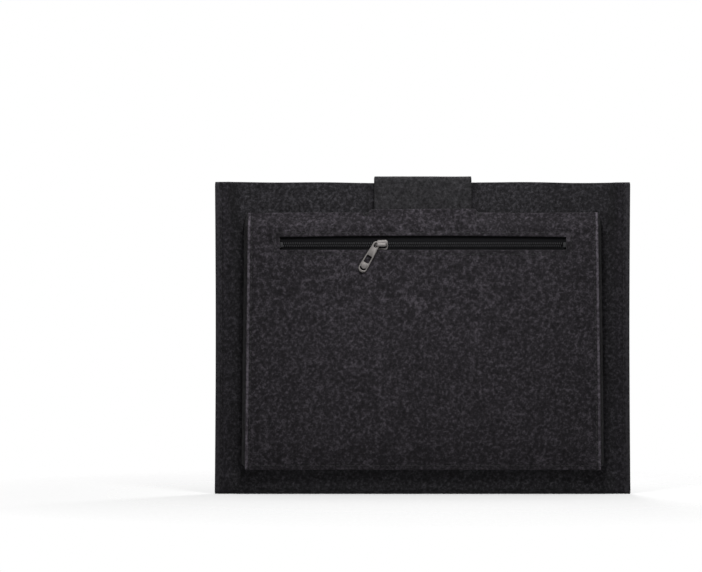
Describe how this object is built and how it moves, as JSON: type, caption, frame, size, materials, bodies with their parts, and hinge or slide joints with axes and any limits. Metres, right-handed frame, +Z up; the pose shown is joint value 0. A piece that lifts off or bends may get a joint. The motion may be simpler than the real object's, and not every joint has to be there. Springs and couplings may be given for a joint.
{
  "type": "laptop sleeve",
  "caption": "Upright felt laptop sleeve with a flat zip pocket on one face and a closing strap, elastic loop and round button on the other.",
  "frame": {"origin": "middle of the base that the sleeve stands on", "axes": "+X along the width, -Y out of the zip-pocket face, +Y out of the flap-and-button face, +Z up"},
  "size_m": [0.35, 0.0458, 0.268],
  "materials": {
    "felt_body": "needled felt",
    "felt_pocket": "needled felt",
    "thread": "sewing thread",
    "zip_tape": "woven tape",
    "zip_coil": "nylon coil",
    "zip_metal": "satin nickel",
    "elastic": "braided elastic",
    "button": "glossy brown"
  },
  "bodies": {
    "sleeve": {"body_felt": "felt_body", "inner_pocket": "felt_body", "side_stitching_left": "thread", "side_stitching_right": "thread", "front_stitching": "thread", "pocket_gusset": "felt_pocket", "pocket_panel": "felt_pocket", "pocket_stitching": "thread", "zip_window_stitching": "thread", "strap_root": "felt_body", "strap_stitching": "thread", "zip_tape_upper": "zip_tape", "zip_tape_lower": "zip_tape", "zip_coil_upper": "zip_coil", "zip_coil_lower": "zip_coil", "zip_stop_left": "zip_coil", "zip_stop_right": "zip_coil", "button_shank": "thread"},
    "strap": {"flap_top": "felt_body"},
    "flap": {"flap_front": "felt_body", "elastic_knot": "elastic", "elastic_loop": "elastic"},
    "slider": {"slider_body": "zip_metal", "slider_bridge": "zip_metal"},
    "puller": {"puller": "zip_metal"},
    "button": {"button": "button", "button_thread": "thread"}
  },
  "joints": [
    {"name": "strap_fold", "type": "hinge", "parent": "sleeve", "child": "strap", "pos_m": [0, -0.0135, 0.2665], "axis": [1, 0, 0], "range_deg": [0, 205]},
    {"name": "flap_fold", "type": "hinge", "parent": "strap", "child": "flap", "pos_m": [0, 0.0165, 0.2665], "axis": [1, 0, 0], "range_deg": [0, 90], "deforming": ["elastic_loop"]},
    {"name": "zip_slide", "type": "slide", "parent": "sleeve", "child": "slider", "axis": [1, 0, 0], "range_m": [-0.076, 0.146]},
    {"name": "puller_swing", "type": "hinge", "parent": "slider", "child": "puller", "pos_m": [-0.0394, -0.0235, 0.2102], "axis": [0, 1, 0], "range_deg": [-75, 75]},
    {"name": "button_turn", "type": "hinge", "parent": "sleeve", "child": "button", "pos_m": [0, 0.0175, 0.185], "axis": [0, 1, 0], "range_deg": [-20, 20]}
  ]
}
